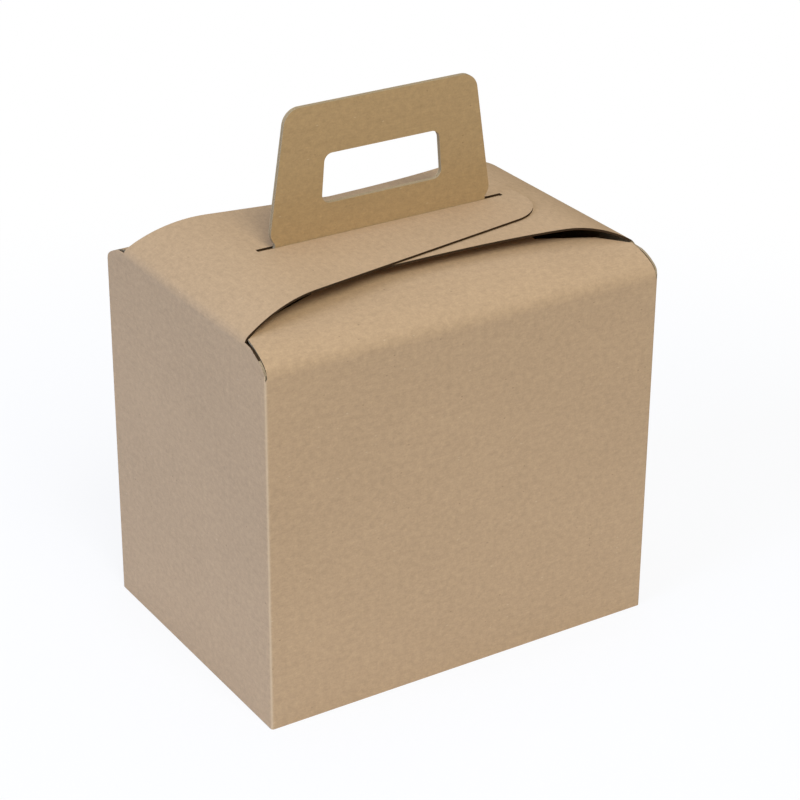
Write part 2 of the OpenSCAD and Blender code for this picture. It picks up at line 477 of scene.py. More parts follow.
class FoldedBoard:
    """A piece of board that is made of folded sheets."""

    def __init__(self, name: str, board: Board) -> None:
        """Start with no sheets.

        Args:
            name: Name of the piece.
            board: The board's sizes.
        """
        self.name = name
        self.board = board
        self.bm = bmesh.new()
        self.bm.verts.layers.float_vector.new("blank")
        self.bm.verts.layers.float.new("crease")
        self.bm.verts.layers.float.new("handle")

    def add(self, sheet: Sheet) -> None:
        """Add a folded sheet."""
        sheet.add_to(self.bm)

    def weld(self) -> None:
        """Join the sheets where they share a fold."""
        bmesh.ops.remove_doubles(self.bm, verts=self.bm.verts[:], dist=SAME_PLACE)

    def thicken(self) -> None:
        """Give the sheets the board's thickness, towards the inside of the box."""
        depth = self.bm.verts.layers.float.new("depth")
        inward = self.bm.verts.layers.float_vector.new("inward")
        self.bm.normal_update()
        for vert in self.bm.verts:
            vert[inward] = -vert.normal * min(vert.calc_shell_factor(), 1.6) * self.board.thickness
        outer = self.bm.faces[:]
        made = bmesh.ops.extrude_face_region(self.bm, geom=outer, use_keep_orig=True)
        inner = [item for item in made["geom"] if isinstance(item, bmesh.types.BMFace)]
        for vert in {vert for face in inner for vert in face.verts}:
            vert.co += vert[inward]
            vert[depth] = 1.0
        known = {*outer, *inner}
        rim = [face for face in self.bm.faces if face not in known]
        bmesh.ops.reverse_faces(self.bm, faces=[*inner, *rim])
        for faces, kind in ((outer, Face.OUTSIDE), (inner, Face.INSIDE), (rim, Face.CUT)):
            for face in faces:
                face.material_index = kind.value
        self.bm.verts.layers.float_vector.remove(inward)

    def crush_edges(self, plain: Callable[[Vector], bool]) -> None:
        """Round the edges of the cuts a little.

        Args:
            plain: Says whether an edge at a point is left sharp, such as where the board goes on.
        """
        edges = []
        for edge in self.bm.edges:
            kinds = {face.material_index for face in edge.link_faces}
            middle = (edge.verts[0].co + edge.verts[1].co) / 2
            if Face.CUT.value in kinds and len(kinds) > 1 and not plain(middle):
                edges.append(edge)
        bmesh.ops.bevel(
            self.bm,
            geom=edges,
            offset=self.board.crushed_edge,
            offset_type="OFFSET",
            segments=2,
            profile=0.5,
            affect="EDGES",
            clamp_overlap=True,
            material=-1,
        )
        low, high = Vector(CAD_BOX[0]), Vector(CAD_BOX[1])
        for vert in self.bm.verts:
            vert.co = Vector(min(max(at, least), most) for at, least, most in zip(vert.co, low, high))

    def finish(self, materials: Sequence[bpy.types.Material]) -> bpy.types.Object:
        """Make the piece's object.

        Args:
            materials: Materials in the order of Face.

        Returns:
            The object, at the origin, with its place in its mesh.
        """
        mesh = bpy.data.meshes.new(self.name)
        self.bm.to_mesh(mesh)
        self.bm.free()
        mesh.shade_smooth()
        mesh.set_sharp_from_angle(angle=self.board.smooth_below)
        for material in materials:
            mesh.materials.append(material)
        piece = bpy.data.objects.new(self.name, mesh)
        bpy.context.scene.collection.objects.link(piece)
        LOG.info("%s: %d faces", self.name, len(mesh.polygons))
        return piece


@dataclass(frozen=True)
class Handle:
    """Outline of one layer of the handle, in metres, seen from the front."""

    neck_half: float = 0.068
    ear_reach: float = 0.0025
    ear_r: float = 0.008
    ear_height: float = 0.247436
    top_half: float = 0.06025
    top: float = 0.316
    corner_r: float = 0.010
    hole_low_half: float = 0.03875
    hole_high_half: float = 0.0365
    hole_height: float = 0.0285
    hole_top: float = 0.287
    hole_r: float = 0.005
    arc_steps: int = 12

    def ear_half(self) -> float:
        """Return the half width at the ears."""
        return self.neck_half + self.ear_reach

    def draw(self, pen: CuttingLine, lift: float) -> None:
        """Draw the layer from the foot of its neck, over its top, to the middle of its hole.

        Args:
            pen: The cutting line, which stands at the foot of the neck.
            lift: What is added to a height to get the distance along the sheet.
        """
        ear = (self.ear_half() - self.ear_r, self.ear_height + lift)
        below = math.acos(1 - self.ear_reach / self.ear_r)
        side = (ear[0] - self.top_half, self.top + lift - ear[1])
        lean = math.atan2(*side) + math.asin(self.ear_r / math.hypot(*side))
        pen.line(self.neck_half, ear[1] - self.ear_r * math.sin(below))
        pen.arc(ear, below + lean, self.arc_steps)
        inset = self.corner_r * (1 - math.sin(lean)) / math.cos(lean)
        corner = (self.top_half - inset, self.top - self.corner_r + lift)
        pen.line(corner[0] + self.corner_r * math.cos(lean), corner[1] + self.corner_r * math.sin(lean))
        pen.arc(corner, UPRIGHT - lean, self.arc_steps)
        pen.line(0.0, self.top + lift)
        self._draw_hole(pen, lift)

    def _draw_hole(self, pen: CuttingLine, lift: float) -> None:
        """Draw half of the hand hole, from its upper edge to its lower one.

        Args:
            pen: The cutting line, which stands on the middle of the top edge.
            lift: What is added to a height to get the distance along the sheet.
        """
        low = self.hole_top - self.hole_height
        lean = math.atan2(self.hole_low_half - self.hole_high_half, self.hole_height)
        high_in = self.hole_r * (1 - math.sin(lean)) / math.cos(lean)
        low_in = self.hole_r * (1 + math.sin(lean)) / math.cos(lean)
        high_centre = (self.hole_high_half - high_in, self.hole_top - self.hole_r + lift)
        low_centre = (self.hole_low_half - low_in, low + self.hole_r + lift)
        pen.line(0.0, self.hole_top + lift)
        pen.line(high_centre[0], self.hole_top + lift)
        pen.arc(high_centre, lean - UPRIGHT, self.arc_steps)
        pen.line(
            low_centre[0] + self.hole_r * math.cos(lean),
            low_centre[1] + self.hole_r * math.sin(lean),
        )
        pen.arc(low_centre, -UPRIGHT - lean, self.arc_steps)
        pen.line(0.0, low + lift)


@dataclass(frozen=True)
class EndFlap:
    """A slotted end flap, in metres. Distances along it are level ones from its crease."""

    level: float
    reach: float
    tip_half: float
    taper: float
    slot_from: float
    slot_to: float
    tip_r: float = 0.027
    slot_half: float = 0.0017
    hinge: float = 0.2244
    rise_angle: float = math.radians(34)
    roll_r: float = 0.007

    def section(self, sizes: BoxSizes, board: Board) -> Section:
        """Return the section of an end panel with its flap.

        Args:
            sizes: The box's sizes.
            board: The board's sizes.
        """
        half_board = board.thickness / 2
        rise = self.level + half_board - self.hinge
        bend = rise / (1 - math.cos(self.rise_angle))
        centre = (half_board + bend * math.sin(self.rise_angle), self.hinge + rise - bend)
        outer = bend + half_board
        roll_height = centre[1] + math.sqrt(
            (outer - self.roll_r) ** 2 - (centre[0] - self.roll_r) ** 2
        )
        slope = math.atan2(roll_height - centre[1], self.roll_r - centre[0]) - UPRIGHT
        roll = UPRIGHT - slope
        runs = [
            Run(sizes.wall, steps=6),
            Run(roll_height - sizes.wall, steps=2),
            Run(self.roll_r * roll, roll, 10),
            Run(outer * slope, slope, 14),
            Run(self.reach + half_board - centre[0], steps=8),
        ]
        return Section((0.0, 0.0), UPRIGHT, 0.0, runs)

    def half(self, distance: float, root_half: float) -> float:
        """Return the flap's half width at a level distance from its crease.

        Args:
            distance: Level distance from the crease.
            root_half: Half width at the crease.
        """
        return self.tip_half + (root_half - self.tip_half) * (1 - distance / self.reach) ** self.taper

    def draw(self, pen: CuttingLine, section: Section, root_half: float, half_board: float) -> None:
        """Draw the flap from its crease round its tip and slot.

        Args:
            pen: The cutting line, which stands at the end of the shoulder.
            section: Section of the end panel and flap.
            root_half: Half width at the crease.
            half_board: Half of the board's thickness.
        """

        def along(distance: float) -> float:
            return section.find(0, distance + half_board, 0.212, section.last + 0.01)

        slope = self.half(self.reach - self.tip_r, root_half) - self.tip_half
        lean = math.atan(slope / self.tip_r)
        centre_at = self.reach - self.tip_r
        centre_half = self.half(centre_at, root_half) - self.tip_r / math.cos(lean)
        side_end = centre_at + self.tip_r * math.sin(lean)
        pen.line(root_half, along(0.0))
        for step in range(1, 24):
            distance = side_end * step / 24
            pen.line(self.half(distance, root_half), along(distance))
        centre = (centre_half, along(centre_at))
        pen.line(
            centre[0] + self.tip_r * math.cos(lean),
            centre[1] + self.tip_r * math.sin(lean),
        )
        pen.arc(centre, UPRIGHT - lean, 20)
        pen.line(0.0, section.last)
        pen.line(0.0, along(self.slot_to))
        pen.line(self.slot_half, along(self.slot_to))
        pen.line(self.slot_half, along(self.slot_from))
        pen.line(0.0, along(self.slot_from))


OUTER_FLAP = EndFlap(
    level=0.238236, reach=0.21427, tip_half=0.032, taper=1, slot_from=0.0459, slot_to=0.20477
)
INNER_FLAP = EndFlap(
    level=0.236736, reach=0.2044, tip_half=0.051, taper=4, slot_from=0.0539, slot_to=0.1949
)


class LunchBox:
    """The folded board of the box: its fixed sheets and its outer flap."""

    def __init__(self, sizes: BoxSizes, board: Board, handle: Handle) -> None:
        """Work out the sections and the ring of upright panels.

        Args:
            sizes: The box's sizes.
            board: The board's sizes.
            handle: The handle's outline.
        """
        self.sizes = sizes
        self.board = board
        self.handle = handle
        corner = board.fold * HALF_CORNER - board.fold
        self.front_half = sizes.width / 2 + corner
        self.end_half = sizes.depth / 2 + corner

    def blank_middle(self, side: Side) -> float:
        """Return the distance of a panel's middle line along the whole blank."""
        return side.order() * (self.front_half + self.end_half)

    def roof_runs(self) -> list[Run]:
        """Return the runs of the roof and handle layer, from the top of a wall."""
        sizes = self.sizes
        slope = UPRIGHT - sizes.shoulder_turn - sizes.haunch_turn - sizes.crown_turn
        cut_back = sizes.ridge_fold_r * math.tan((UPRIGHT - slope) / 2)
        crown = sizes.crown_turn - cut_back / sizes.crown_r
        turn = UPRIGHT - slope - cut_back / sizes.crown_r
        return [
            Run(sizes.shoulder_r * sizes.shoulder_turn, sizes.shoulder_turn, 16),
            Run(sizes.haunch_r * sizes.haunch_turn, sizes.haunch_turn, 8),
            Run(sizes.crown_r * crown, crown, 14),
            Run(sizes.ridge_fold_r * turn, -turn, 5),
            Run(sizes.handle_top - sizes.ridge - cut_back, steps=8),
        ]

    def front_section(self) -> Section:
        """Return the section of the front wall, its roof and its handle layer."""
        return Section((0.0, 0.0), UPRIGHT, 0.0, [Run(self.sizes.wall, steps=6), *self.roof_runs()])

    def back_section(self) -> Section:
        """Return the section of the base panel, back wall, roof and handle layer."""
        sizes, board = self.sizes, self.board
        fold = sizes.base_fold
        base = sizes.depth - 2 * board.thickness - sizes.base_slit - fold + board.thickness
        first = fold - fold * UPRIGHT - base
        runs = [
            Run(base, steps=6),
            Run(fold * UPRIGHT, UPRIGHT, 6),
            Run(sizes.base_side_height - fold),
            Run(sizes.wall - sizes.base_side_height, steps=5),
            *self.roof_runs(),
        ]
        return Section((fold + base, 0.0), math.pi, first, runs)

    def roof_plan(self) -> list[tuple[float, float]]:
        """Return the corners of the roof's side edge, as depth behind the wall and half width."""
        sizes, ear = self.sizes, self.handle.ear_half()
        inner = sizes.width / 2 - self.board.thickness
        high = inner - sizes.slit_high
        return [
            (0.0, inner - sizes.slit_low),
            (sizes.crease_in, high),
            (sizes.crease_in + sizes.roof_notch / 2, high - sizes.roof_notch),
            (sizes.roof_corner_depth, sizes.width / 2 - sizes.roof_corner_in),
            (sizes.roof_narrow, ear + sizes.roof_notch),
            (sizes.depth / 2 + sizes.roof_past_middle, ear),
        ]

    def roof_half(self, depth: float) -> float:
        """Return the roof's half width at a depth behind the wall's outer face."""
        corners = self.roof_plan()
        for (near, wide), (far, narrow) in zip(corners, corners[1:]):
            if depth <= far:
                return wide + (narrow - wide) * (depth - near) / (far - near)
        return corners[-1][1]

    def draw_roof(self, pen: CuttingLine, section: Section) -> None:
        """Draw one side of a roof half and its handle layer, from the top of the wall.

        Args:
            pen: The cutting line, which stands at the top of an upright fold.
            section: Section of the sheet.
        """
        sizes = self.sizes
        roof_end = section.stretches[-2][0]
        lip = sizes.wall + sizes.roof_lip
        depths = [depth for depth, _ in self.roof_plan()[1:-1]]
        corners = [section.find(0, depth, sizes.wall, roof_end) for depth in depths]
        rows = [row for row in section.rows(self.board.fold_support) if lip < row < roof_end]
        pen.line(self.roof_half(0.0), lip)
        for place in sorted([*corners, *rows]):
            pen.line(self.roof_half(section.at(place)[0]), place)
        pen.line(self.roof_half(section.at(roof_end)[0]), roof_end)
        pen.line(self.handle.neck_half, roof_end)
        self.handle.draw(pen, section.last - sizes.handle_top)

    def fold_columns(self, half: float) -> list[float]:
        """Return the lines beside and round an upright fold.

        Args:
            half: Half of the sheet's width, to the crest of the fold.
        """
        start = half - self.board.fold * HALF_CORNER
        rounds = [start + self.board.fold * HALF_CORNER * step / 3 for step in range(3)]
        return [start - self.board.fold_support, *rounds]

    def front(self) -> Sheet:
        """Make the front wall with its roof and handle layer."""
        section = self.front_section()
        pen = CuttingLine(0.0, 0.0)
        pen.line(self.front_half, 0.0)
        pen.line(self.front_half, self.sizes.wall)
        self.draw_roof(pen, section)
        return self._wall_sheet(pen, section, Side.FRONT, self.sizes.width / 2, self.front_half)

    def back(self) -> Sheet:
        """Make the outer base panel with the back wall, its roof and its handle layer."""
        section = self.back_section()
        base_half = self.sizes.width / 2 - self.board.thickness - self.sizes.base_slit
        pen = CuttingLine(0.0, section.first)
        pen.line(base_half, section.first)
        pen.line(base_half, self.sizes.base_fold)
        pen.line(self.front_half, self.sizes.base_fold)
        pen.line(self.front_half, self.sizes.wall)
        self.draw_roof(pen, section)
        return self._wall_sheet(pen, section, Side.BACK, self.sizes.width / 2, self.front_half)

    def end(self, side: Side, flap: EndFlap) -> tuple[Sheet, Panel]:
        """Make an end wall with its flap, as one flat half that is opened out.

        Args:
            side: Which end it is.
            flap: Its flap.

        Returns:
            The flat sheet and where it stands.
        """
        sizes, board = self.sizes, self.board
        section = flap.section(sizes, board)
        roof = self.front_section()
        root = section.find(0, board.thickness / 2, sizes.wall, section.last)
        root_half = sizes.depth / 2 - sizes.crease_in
        fold_in = board.fold * (1 - math.cos(HALF_CORNER))
        pen = CuttingLine(0.0, 0.0)
        slit = roof.at(roof.find(0, fold_in, sizes.wall, 0.24))[1]
        pen.line(self.end_half, 0.0)
        pen.line(self.end_half, slit)
        top = section.at(root)[1] - 0.0002
        for row in roof.rows(board.fold_support):
            depth, height = roof.at(row)
            if depth > board.fold and height < top and row > sizes.wall:
                pen.line(sizes.depth / 2 - depth, section.find(1, height, sizes.wall, root))
        flap.draw(pen, section, root_half, board.thickness / 2)
        sheet = Sheet(pen.close())
        middle = self.blank_middle(side)
        panel = Panel(side, sizes.depth / 2, section, middle, sizes.end_bulge, sizes.wall)
        self._score_all(sheet, section, self.end_half, slit, [self.sizes.flap_split])
        sheet.open_out()
        return sheet, panel

    def _wall_sheet(
        self, pen: CuttingLine, section: Section, side: Side, half: float, crest: float
    ) -> Sheet:
        """Score, open out and fold a front or back sheet.

        Args:
            pen: The finished cutting line.
            section: Section of the sheet.
            side: Which panel it is.
            half: Half of the box's width there.
            crest: Half of the sheet's width, to the crest of the fold.

        Returns:
            The folded sheet.
        """
        sheet = Sheet(pen.close())
        middle = self.blank_middle(side)
        panel = Panel(side, half, section, middle, self.sizes.wall_bulge, self.sizes.wall)
        slit = self.sizes.wall + self.sizes.roof_lip
        self._score_all(sheet, section, crest, slit, [])
        sheet.open_out()
        ridge = section.stretches[-2][0]
        sheet.fold(lambda u, v: panel.place(self.board, u, v), panel.middle_along_blank, ridge)
        return sheet

    def _score_all(
        self, sheet: Sheet, section: Section, crest: float, slit: float, rows: Sequence[float]
    ) -> None:
        """Divide a flat half sheet where it bends, and into a grid between the bends.

        Args:
            sheet: The flat half sheet.
            section: Section of the sheet.
            crest: Half of the sheet's width, to the crest of the upright fold.
            slit: Distance along the sheet where its edge leaves the upright fold.
            rows: Further places for lines across it.
        """
        fold = self.fold_columns(crest)
        board = self.board
        count = int((fold[0] - board.grid_margin) / board.grid)
        grid = [step * board.grid for step in range(1, count + 1)]
        whole = (section.first, section.last)
        places = [*section.rows(self.board.fold_support), self.sizes.base_fold, slit, *rows]
        sheet.score(1, places, *whole)
        sheet.score(0, fold, 0.0, slit)
        sheet.score(0, grid, *whole)

    def flat_flap(self, outline: Sequence[tuple[float, float]], height: float) -> Sheet:
        """Make a level base flap that is symmetric about the middle of the box's width.

        Args:
            outline: Half outline as distances from the middle and places along the depth.
            height: Height of its lower face.
        """
        pen = CuttingLine(*outline[0])
        for across, along in outline[1:]:
            pen.line(across, along)
        sheet = Sheet(pen.close())
        sheet.open_out()
        sheet.fold(lambda u, v: (Vector((-u, v, height)), 0.0), 0.0)
        return sheet

    def base_flaps(self) -> list[Sheet]:
        """Make the three inner base flaps, with mitred corners."""
        board, sizes = self.board, self.sizes
        side = sizes.width / 2 - board.thickness - sizes.glue_gap
        front = sizes.depth / 2 - board.thickness - sizes.glue_gap
        deep, mitre = sizes.base_flap, sizes.base_mitre
        height = board.thickness + sizes.glue_gap
        outline = [
            (0.0, -front),
            (side - mitre, -front),
            (side - deep - mitre, deep - front),
            (0.0, deep - front),
        ]
        first = self.flat_flap(outline, height)
        sheets = [first]
        for sign in (-1, 1):
            pen = CuttingLine(side, -front + mitre)
            pen.line(side, front)
            pen.line(side - deep, front)
            pen.line(side - deep, deep - front + mitre)
            sheet = Sheet(pen.close())
            bmesh.ops.recalc_face_normals(sheet.bm, faces=sheet.bm.faces[:])
            sheet.bm.normal_update()
            turned = [face for face in sheet.bm.faces if face.normal.z * sign > 0.0]
            bmesh.ops.reverse_faces(sheet.bm, faces=turned)
            sheet.fold(lambda u, v, s=sign: (Vector((s * u, v, height)), 0.0), 0.3)
            sheets.append(sheet)
        return sheets

    def side_seam(self) -> Sheet:
        """Make the glued strip inside the right back fold, with slanted ends."""
        board, sizes = self.board, self.sizes
        face = sizes.width / 2 - board.thickness - sizes.glue_gap
        back = sizes.depth / 2 - board.thickness
        near, far = back - sizes.seam_w, back - 2 * sizes.glue_gap
        pen = CuttingLine(near, sizes.seam_low + sizes.seam_slant)
        pen.line(far, sizes.seam_low)
        pen.line(far, sizes.seam_high)
        pen.line(near, sizes.seam_high - sizes.seam_slant)
        sheet = Sheet(pen.close())
        sheet.bm.normal_update()
        turned = [item for item in sheet.bm.faces if item.normal.z < 0.0]
        bmesh.ops.reverse_faces(sheet.bm, faces=turned)
        sheet.fold(lambda u, v: (Vector((face, u, v)), 0.0), 0.3)
        return sheet

    def carton(self, materials: Sequence[bpy.types.Material]) -> bpy.types.Object:
        """Make the fixed part of the box.

        Args:
            materials: Materials in the order of Face.

        Returns:
            The piece.
        """
        whole = FoldedBoard("carton_board", self.board)
        whole.add(self.front())
        whole.add(self.back())
        left, left_panel = self.end(Side.LEFT, OUTER_FLAP)
        left.keep(self.sizes.flap_split, above=False)
        right, right_panel = self.end(Side.RIGHT, INNER_FLAP)
        for sheet, panel in ((left, left_panel), (right, right_panel)):
            sheet.fold(lambda u, v, p=panel: p.place(self.board, u, v), panel.middle_along_blank)
            whole.add(sheet)
        whole.weld()
        for sheet in (*self.base_flaps(), self.side_seam()):
            whole.add(sheet)
        whole.thicken()
        whole.crush_edges(self._board_goes_on)
        return whole.finish(materials)

    def outer_flap(self, materials: Sequence[bpy.types.Material]) -> bpy.types.Object:
        """Make the outer end flap, which swings on the real box, as a piece of its own, with the rolled
        crease at its root.

        Args:
            materials: Materials in the order of Face.

        Returns:
            The piece.
        """
        whole = FoldedBoard("outer_flap_board", self.board)
        sheet, panel = self.end(Side.LEFT, OUTER_FLAP)
        sheet.keep(self.sizes.flap_split, above=True)
        sheet.fold(lambda u, v: panel.place(self.board, u, v), panel.middle_along_blank)
        whole.add(sheet)
        whole.thicken()
        whole.crush_edges(self._board_goes_on)
        return whole.finish(materials)

    def _board_goes_on(self, point: Vector) -> bool:
        """Tell whether a point is where the left end panel goes on into its flap."""
        return abs(point.z - self.sizes.flap_split) < 1e-5 and point.x < -self.sizes.width / 2 + 0.002


class Graph:
    """Short ways to add nodes to a tree and join them."""

    def __init__(self, tree: bpy.types.NodeTree) -> None:
        """Keep the tree that the nodes go into."""
        self.tree = tree

    def node(self, kind: str, inputs: dict[Any, Any] | None = None, **settings: Any) -> bpy.types.Node:
        """Add a node.

        Args:
            kind: Blender's name for the node type.
            inputs: Values or sockets for its inputs, by name or number.
            settings: Properties of the node.

        Returns:
            The node.
        """
        made = self.tree.nodes.new(kind)
        for name, value in settings.items():
            setattr(made, name, value)
        for name, value in (inputs or {}).items():
            self.feed(made.inputs[name], value)
        return made

    def feed(self, socket: bpy.types.NodeSocket, value: Any) -> None:
        """Link a socket to an input, or set the input's value."""
        if isinstance(value, bpy.types.NodeSocket):
            self.tree.links.new(value, socket)
        else:
            socket.default_value = value

    def math(
        self, operation: str, first: Any, second: Any = 0.0, third: Any = 0.0
    ) -> bpy.types.NodeSocket:
        """Add a Math node and return its output."""
        made = self.node("ShaderNodeMath", {0: first, 1: second, 2: third}, operation=operation)
        return made.outputs[0]

    def scaled(self, vector: Any, scale: tuple[float, float, float]) -> bpy.types.NodeSocket:
        """Return a vector multiplied by a scale on each axis."""
        made = self.node("ShaderNodeVectorMath", {0: vector, 1: scale}, operation="MULTIPLY")
        return made.outputs[0]

    def noise(self, vector: Any, detail: float = 2.0, roughness: float = 0.5) -> bpy.types.NodeSocket:
        """Return noise about zero, from minus one half to one half, at a scale of one."""
        made = self.node(
            "ShaderNodeTexNoise",
            {"Vector": vector, "Scale": 1.0, "Detail": detail, "Roughness": roughness},
        )
        return self.math("SUBTRACT", made.outputs[0], 0.5)

    def ramp(self, value: Any, low: float, high: float) -> bpy.types.NodeSocket:
        """Return a smooth step from zero at low to one at high."""
        made = self.node(
            "ShaderNodeMapRange",
            {"Value": value, "From Min": low, "From Max": high, "To Min": 0.0, "To Max": 1.0},
            interpolation_type="SMOOTHSTEP",
        )
        return made.outputs[0]

    def mix(self, share: Any, first: Any, second: Any) -> bpy.types.NodeSocket:
        """Return a mix of two colours."""
        made = self.node(
            "ShaderNodeMix",
            {"Factor": share, 6: first, 7: second},
            data_type="RGBA",
        )
        return made.outputs[2]

    def brighten(self, colour: Any, tone: Any) -> bpy.types.NodeSocket:
        """Return a colour made brighter by a share, which may be negative."""
        factor = self.math("ADD", tone, 1.0)
        if isinstance(colour, tuple):
            colour = colour[:3]
        made = self.node("ShaderNodeVectorMath", {0: colour, "Scale": factor}, operation="SCALE")
        return made.outputs[0]


class Effect:
    """A node group with named inputs and outputs, built once."""

    def __init__(self, name: str, inputs: dict[str, str], outputs: dict[str, str]) -> None:
        """Make an empty group.

        Args:
            name: Name of the group.
            inputs: Socket types by input name.
            outputs: Socket types by output name.
        """
        self.tree = bpy.data.node_groups.new(name, "ShaderNodeTree")
        for label, kind in inputs.items():
            self.tree.interface.new_socket(label, in_out="INPUT", socket_type=kind)
        for label, kind in outputs.items():
            self.tree.interface.new_socket(label, in_out="OUTPUT", socket_type=kind)
        self.graph = Graph(self.tree)
        self.given = self.tree.nodes.new("NodeGroupInput").outputs
        self.result = self.tree.nodes.new("NodeGroupOutput").inputs

    def put(self, graph: Graph, inputs: dict[str, Any]) -> bpy.types.Node:
        """Place the group in a material.

        Args:
            graph: The material's nodes.
            inputs: Values or sockets by input name.

        Returns:
            The group's node.
        """
        return graph.node("ShaderNodeGroup", inputs, node_tree=self.tree)


FLUTE_PITCH = 0.0017
VALUE = "NodeSocketFloat"
VECTOR = "NodeSocketVector"


class BoardEffects:
    """The surface effects that the board's materials share."""

    def __init__(self) -> None:
        """Build each group once."""
        self.grain = self._grain()
        self.fleck = self._fleck()
        self.wear_and_highlight = self._wear_and_highlight()
        self.layers = self._layers()

    @staticmethod
    def _grain() -> Effect:
        """Build paper fibres, clouding and the washboard of the flutes."""
        effect = Effect(
            "board_grain",
            {"Blank": VECTOR, "Fibre": VALUE, "Clouding": VALUE, "Fluting": VALUE},
            {"Tone": VALUE, "Height": VALUE},
        )
        graph, given = effect.graph, effect.given
        blank = given["Blank"]
        fine = graph.noise(graph.scaled(blank, (800.0, 950.0, 1.0)), 3.0, 0.65)
        mottle = graph.noise(graph.scaled(blank, (270.0, 310.0, 1.0)), 2.0, 0.6)
        long_fibre = graph.noise(graph.scaled(blank, (140.0, 900.0, 1.0)), 2.0, 0.6)
        cloud = graph.noise(graph.scaled(blank, (45.0, 60.0, 1.0)), 3.0, 0.6)
        wide_cloud = graph.noise(graph.scaled(blank, (9.0, 12.0, 1.0)), 1.0, 0.5)
        parts = graph.node("ShaderNodeSeparateXYZ", {0: blank})
        drift = graph.noise(graph.scaled(blank, (12.0, 40.0, 1.0)), 1.0, 0.5)
        wander = graph.math("MULTIPLY", drift, 5.0)
        phase = graph.math("MULTIPLY_ADD", parts.outputs[1], 2 * math.pi / FLUTE_PITCH, wander)
        flute = graph.math("MULTIPLY", graph.math("SINE", phase), 0.5)
        strength = graph.math("ADD", graph.noise(graph.scaled(blank, (35.0, 90.0, 1.0)), 1.0, 0.5), 0.5)
        flute = graph.math("MULTIPLY", flute, strength)
        fibre_tone = graph.math("MULTIPLY_ADD", long_fibre, 0.35, fine)
        fibre_tone = graph.math("MULTIPLY_ADD", mottle, 1.0, fibre_tone)
        fibre_tone = graph.math("MULTIPLY", fibre_tone, given["Fibre"])
        cloud_tone = graph.math("MULTIPLY_ADD", wide_cloud, 1.2, cloud)
        cloud_tone = graph.math("MULTIPLY", cloud_tone, given["Clouding"])
        paper_tone = graph.math("ADD", fibre_tone, cloud_tone)
        tone = graph.math("MULTIPLY_ADD", flute, given["Fluting"], paper_tone)
        graph.feed(effect.result["Tone"], tone)
        height = graph.math("MULTIPLY_ADD", fine, 0.5, graph.math("MULTIPLY", long_fibre, 0.35))
        height = graph.math("MULTIPLY_ADD", flute, 0.55, height)
        graph.feed(effect.result["Height"], height)
        return effect

    @staticmethod
    def _fleck() -> Effect:
        """Build small flecks of bark or pale fibre, scattered over the board."""
        inputs = {"Blank": VECTOR, "Spacing": VECTOR, "Share": VALUE}
        effect = Effect("board_fleck", inputs, {"Mask": VALUE})
        graph, given = effect.graph, effect.given
        both = {0: given["Blank"], 1: given["Spacing"]}
        place = graph.node("ShaderNodeVectorMath", both, operation="MULTIPLY")
        bend = graph.noise(graph.scaled(place.outputs[0], (6.0, 6.0, 1.0)), 1.0, 0.5)
        cells = graph.node("ShaderNodeTexVoronoi", {"Vector": place.outputs[0], "Scale": 1.0})
        ragged = graph.math("MULTIPLY_ADD", bend, 0.12, cells.outputs["Distance"])
        spot = graph.ramp(ragged, 0.16, 0.07)
        chance = graph.node("ShaderNodeSeparateColor", {0: cells.outputs["Color"]})
        chosen = graph.math("LESS_THAN", chance.outputs[0], given["Share"])
        graph.feed(effect.result["Mask"], graph.math("MULTIPLY", spot, chosen))
        return effect

    @staticmethod
    def _wear_and_highlight() -> Effect:
        """Build the paler crest of a fold: partly rubbed wear, partly a painted highlight where the crest
        catches the light.
        """
        effect = Effect("fold_wear_and_highlight", {"Blank": VECTOR, "Crease": VALUE}, {"Mask": VALUE})
        graph, given = effect.graph, effect.given
        patchy = graph.noise(graph.scaled(given["Blank"], (300.0, 90.0, 1.0)), 3.0, 0.6)
        crest = graph.math("MULTIPLY_ADD", patchy, 0.5, given["Crease"])
        graph.feed(effect.result["Mask"], graph.ramp(crest, 0.25, 0.95))
        return effect

    @staticmethod
    def _layers() -> Effect:
        """Build the two liners and the wave between them, on a cut edge, with the open flutes between
        them painted darker as shade.
        """
        inputs = {"Blank": VECTOR, "Depth": VALUE}
        effect = Effect("cut_layers", inputs, {"Tone": VALUE, "Height": VALUE})
        graph, given = effect.graph, effect.given
        parts = graph.node("ShaderNodeSeparateXYZ", {0: given["Blank"]})
        wave = graph.math("SINE", graph.math("MULTIPLY", parts.outputs[1], 2 * math.pi / FLUTE_PITCH))
        middle = graph.math("MULTIPLY_ADD", wave, 0.26, 0.5)
        from_wave = graph.math("ABSOLUTE", graph.math("SUBTRACT", given["Depth"], middle))
        medium = graph.ramp(from_wave, 0.15, 0.08)
        from_middle = graph.math("ABSOLUTE", graph.math("SUBTRACT", given["Depth"], 0.5))
        liner = graph.ramp(from_middle, 0.32, 0.38)
        paper = graph.math("MAXIMUM", medium, liner)
        rough = graph.noise(graph.scaled(given["Blank"], (2500.0, 2500.0, 1.0)), 2.0, 0.6)
        # Where there is no paper, in the open flutes, the tone is lower: painted shade in the hollows.
        tone = graph.math("MULTIPLY_ADD", paper, 0.30, graph.math("MULTIPLY_ADD", rough, 0.25, -0.22))
        graph.feed(effect.result["Tone"], tone)
        graph.feed(effect.result["Height"], graph.math("MULTIPLY_ADD", rough, 0.4, paper))
        return effect


